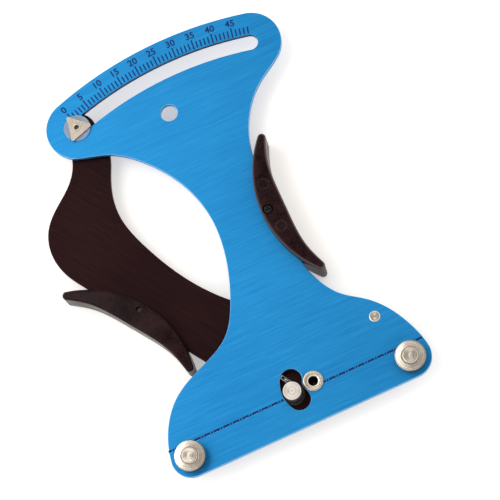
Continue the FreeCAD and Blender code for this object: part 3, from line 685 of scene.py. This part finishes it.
# The burr that the cutter threw up along the lower side of the long dashes; its pale colour is a painted
# glint
BURR_WIDTH = 0.26
BURR_SHARE = 0.6
LONG_DASH = 1.5
burr_glint_metal = worn_metal("burr_painted_glint", (0.16, 0.62, 0.98), (0.05, 0.38, 0.78), 0.34, 1500.0)
burrs = [((x, y - (LINE_WIDTH + BURR_WIDTH) / 2), length * BURR_SHARE, turn)
         for (x, y), length, turn in dashes if length > LONG_DASH]
marking("spoke_line_burr", bars_for, burrs, BURR_WIDTH, 0.08, "plate", burr_glint_metal)

# Numbers stand on the long ticks and read from outside the arc
NUMBER_RADIUS = 209.45
NUMBER_HEIGHT = 3.9
GLYPH_SHARE = 0.73
NUMBER_WEIGHT = 0.13
NUMBER_SPACING = 1.02


def numbers():
    """The scale's numbers as one raised piece, each standing square to its own tick."""
    merged = bmesh.new()
    for value in range(0, DIVISIONS, NUMBERED):
        curve = bpy.data.curves.new(f"number_{value}", "FONT")
        curve.body = str(value)
        curve.size = NUMBER_HEIGHT / GLYPH_SHARE * MM
        curve.align_x = "CENTER"
        curve.offset = NUMBER_WEIGHT * MM
        curve.extrude = (INK_HEIGHT + INK_SUNK) / 2 * MM
        curve.resolution_u = 4
        curve.space_character = NUMBER_SPACING
        text = bpy.data.objects.new(f"number_{value}", curve)
        bpy.context.scene.collection.objects.link(text)
        bpy.context.view_layer.update()
        shown = text.evaluated_get(bpy.context.evaluated_depsgraph_get())
        mesh = bpy.data.meshes.new_from_object(shown)
        bpy.data.objects.remove(text)
        angle = SCALE_ZERO + SCALE_STEP * value
        low = spot(*polar(NUMBER_RADIUS - NUMBER_HEIGHT / 2, angle),
                   (INK_HEIGHT - INK_SUNK) / 2)
        mesh.transform(Matrix.Translation(low)
                       @ Matrix.Rotation(math.radians(angle - 90), 4, "Z"))
        merged.from_mesh(mesh)
    bmesh.ops.remove_doubles(merged, verts=merged.verts, dist=0.002 * MM)
    bmesh.ops.recalc_face_normals(merged, faces=merged.faces)
    mesh = bpy.data.meshes.new("scale_numbers")
    merged.to_mesh(mesh)
    merged.free()
    piece = bpy.data.objects.new("scale_numbers", mesh)
    bpy.context.scene.collection.objects.link(piece)
    ink.put_on(piece)
    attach(piece, "plate")


numbers()

# Spring

COIL_START_Z = -7.9
COIL_PITCH = 2.1
HOOK_ANGLE = 212.0
COIL_TURN = 452.19
COIL_END_Z = COIL_START_Z - COIL_PITCH * COIL_TURN / 360
COIL_REACH = 7.85             # past this radius the wire is one of its two legs


def share_of_turn(place):
    """How far a place on the wire is from the hook, as a share of the coil's turn."""
    from_pivot = place / MM - PIVOT
    if math.hypot(from_pivot.x, from_pivot.y) > COIL_REACH:
        middle = (COIL_START_Z + COIL_END_Z) / 2
        return 1.0 if from_pivot.z < middle else 0.0
    angle = math.degrees(math.atan2(from_pivot.y, from_pivot.x)) - HOOK_ANGLE
    choices = []
    for whole in (-2, -1, 0, 1):
        turn = angle % 360 + 360 * whole
        level = COIL_START_Z - COIL_PITCH * turn / 360
        choices.append((abs(from_pivot.z - level), turn))
    return min(max(min(choices)[1] / COIL_TURN, 0.0), 1.0)


def spring():
    """The return spring's own shape, which twists evenly along its coil."""
    shape = bmesh.new()
    shape.from_mesh(nodes["return_spring"].data)
    bmesh.ops.remove_doubles(shape, verts=shape.verts, dist=0.0005 * MM)
    bmesh.ops.recalc_face_normals(shape, faces=shape.faces)
    mesh = bpy.data.meshes.new("return_spring_wire")
    shape.to_mesh(mesh)
    shape.free()
    mesh.shade_smooth()
    piece = bpy.data.objects.new("return_spring_wire", mesh)
    bpy.context.scene.collection.objects.link(piece)
    wire = Finish("spring_wire", Metallic=1.0)
    around = wire.from_place(spot(0.0, 0.0))
    drawn = wire.noise(around, 1500.0, 3.0, 0.6)
    wire.feed(Base_Color=wire.mix(wire.spread(drawn, 0.3, 0.7),
                                  (0.46, 0.45, 0.44), (0.72, 0.70, 0.67)),
              Roughness=wire.spread(drawn, 0.3, 0.7, 0.20, 0.34))
    wire.relief(drawn, 0.01, 0.4).put_on(piece)
    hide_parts("return_spring")
    low = spot(0.0, 0.0, COIL_END_Z)
    high = spot(0.0, 0.0, COIL_START_Z)
    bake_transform(piece, "plate", "arm", start=low, end=high)
    shares = [1.0 - share_of_turn(vertex.co) for vertex in mesh.vertices]
    mesh.attributes["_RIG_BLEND"].data.foreach_set("value", shares)


spring()

# Table, light, view

TILT = 16.353
ROLL = -24.398
DISTANCE = 1.0
AIM = Vector((0.018942, -0.016150, 0.0138))

# The camera's sensor and lens, in millimetres
SENSOR = 36.0
LENS = 133.06


def look():
    """The camera, tipped towards the hand and rolled as the photograph is."""
    tilt, roll = math.radians(TILT), math.radians(ROLL)
    back = Vector((0.0, -math.sin(tilt), math.cos(tilt)))
    right = Vector((1.0, 0.0, 0.0))
    up = Vector((0.0, math.cos(tilt), math.sin(tilt)))
    across = right * math.cos(roll) + up * math.sin(roll)
    upward = -right * math.sin(roll) + up * math.cos(roll)
    camera = bpy.data.cameras.new("camera")
    camera.sensor_width = SENSOR
    camera.lens = LENS
    camera.clip_start = 0.05
    camera.clip_end = 20.0
    seen = bpy.data.objects.new("camera", camera)
    turn = Matrix((across, upward, back)).transposed().to_4x4()
    seen.matrix_world = Matrix.Translation(AIM + back * DISTANCE) @ turn
    bpy.context.scene.collection.objects.link(seen)
    bpy.context.scene.camera = seen
    return across, upward


across, upward = look()


def lamp(name, left, top, height, distance, size, power):
    """A soft square lamp; left, top and height say where it stands from the picture."""
    light = bpy.data.lights.new(name, "AREA")
    light.shape = "SQUARE"
    light.size = size
    light.energy = power
    where = Vector((-across.x, -across.y, 0)) * left
    where += Vector((upward.x, upward.y, 0)) * top + Vector((0, 0, height))
    stand = bpy.data.objects.new(name, light)
    stand.location = AIM + where.normalized() * distance
    stand.rotation_mode = "QUATERNION"
    stand.rotation_quaternion = (-where).to_track_quat("-Z", "Y")
    bpy.context.scene.collection.objects.link(stand)


lamp("key_lamp", 0.58, 0.20, 1.0, 1.6, 0.75, 5.0)
lamp("fill_lamp", 0.90, -0.30, 1.0, 1.8, 1.2, 5.5)


FLOOR_REACH = 2.5
FLOOR_BELOW = 0.1             # millimetres under the tool, so that no faces coincide
FLOOR_GLOW = 0.44


def table():
    """A pale floor that keeps the tool's shadow."""
    shape = bmesh.new()
    bmesh.ops.create_grid(shape, x_segments=8, y_segments=8, size=FLOOR_REACH)
    bmesh.ops.translate(shape, verts=shape.verts, vec=(0.0, 0.0, cad_box[0][2] - FLOOR_BELOW * MM))
    mesh = bpy.data.meshes.new("table_top")
    shape.to_mesh(mesh)
    shape.free()
    floor = bpy.data.objects.new("table_top", mesh)
    bpy.context.scene.collection.objects.link(floor)
    paper = Finish("white_paper", Roughness=0.9, Specular_IOR_Level=0.1)
    fibre = paper.noise(paper.coords, 180.0)
    paper.feed(Base_Color=paper.mix(fibre, (0.91, 0.88, 0.84), (0.94, 0.91, 0.87)))
    path = paper.node("ShaderNodeLightPath").outputs
    seen = paper.math("MAXIMUM", path["Is Camera Ray"], path["Is Glossy Ray"])
    seen = paper.math("MAXIMUM", seen, path["Is Transmission Ray"])
    paper.shader.inputs["Emission Color"].default_value = (1.0, 0.975, 0.95, 1.0)
    paper.feed(Emission_Strength=paper.math("MULTIPLY", seen, FLOOR_GLOW))
    paper.put_on(floor)


table()

# Light from all round, dimmer overhead: its strengths, and the heights between them
HORIZON = 0.97
ZENITH = 0.36
OVERHEAD = (0.62, 0.97)


def studio_air():
    """White air behind everything, whose light dims towards the zenith."""
    world = bpy.data.worlds.new("studio")
    bpy.context.scene.world = world
    world.use_nodes = True
    air = world.node_tree
    background = air.nodes["Background"]
    background.inputs["Color"].default_value = (1.0, 1.0, 1.0, 1.0)
    seen = add_node(air, "ShaderNodeLightPath").outputs["Is Camera Ray"]
    way = add_node(air, "ShaderNodeTexCoord").outputs["Generated"]
    height = add_node(air, "ShaderNodeSeparateXYZ", (way,)).outputs["Z"]
    dome = add_node(air, "ShaderNodeMapRange", (height, *OVERHEAD, HORIZON, ZENITH)).outputs[0]
    strength = add_node(air, "ShaderNodeMath", (seen, dome), operation="MAXIMUM").outputs[0]
    air.links.new(strength, background.inputs["Strength"])


studio_air()

bpy.context.scene.view_settings.view_transform = "Standard"

bpy.context.view_layer.update()
